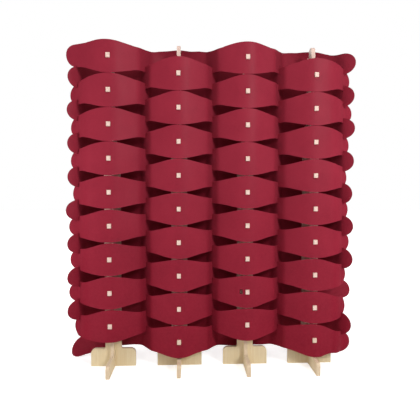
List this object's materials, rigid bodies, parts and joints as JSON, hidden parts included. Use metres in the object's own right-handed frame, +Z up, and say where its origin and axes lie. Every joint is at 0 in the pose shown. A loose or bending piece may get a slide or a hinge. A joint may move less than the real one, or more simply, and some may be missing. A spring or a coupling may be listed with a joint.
{
  "type": "acoustic room divider",
  "caption": "Free-standing acoustic room divider: long scalloped felt strips woven around plywood posts, each post two crossed boards with feet.",
  "frame": {"origin": "on the floor, below the middle of the divider", "axes": "+Z up, +X along the width to the right seen from the front, the front faces -Y"},
  "size_m": [1.4879, 0.348, 1.5909],
  "materials": {
    "plywood": "clear-sealed birch plywood, sanded faces, layered edges left bare",
    "felt": "dense pressed wool-look felt in deep red, matt, cut edges"
  },
  "bodies": {
    "root": {"fin_1": "plywood", "fin_2": "plywood", "fin_3": "plywood", "fin_4": "plywood", "cross_board_1": "plywood", "cross_board_2": "plywood", "cross_board_3": "plywood", "cross_board_4": "plywood", "felt_strip_01": "felt", "felt_strip_02": "felt", "felt_strip_03": "felt", "felt_strip_04": "felt", "felt_strip_05": "felt", "felt_strip_06": "felt", "felt_strip_07": "felt", "felt_strip_08": "felt", "felt_strip_09": "felt", "felt_strip_10": "felt", "felt_strip_11": "felt", "felt_strip_12": "felt", "felt_strip_13": "felt", "felt_strip_14": "felt", "felt_strip_15": "felt", "felt_strip_16": "felt", "felt_strip_17": "felt", "felt_strip_18": "felt"}
  },
  "joints": []
}
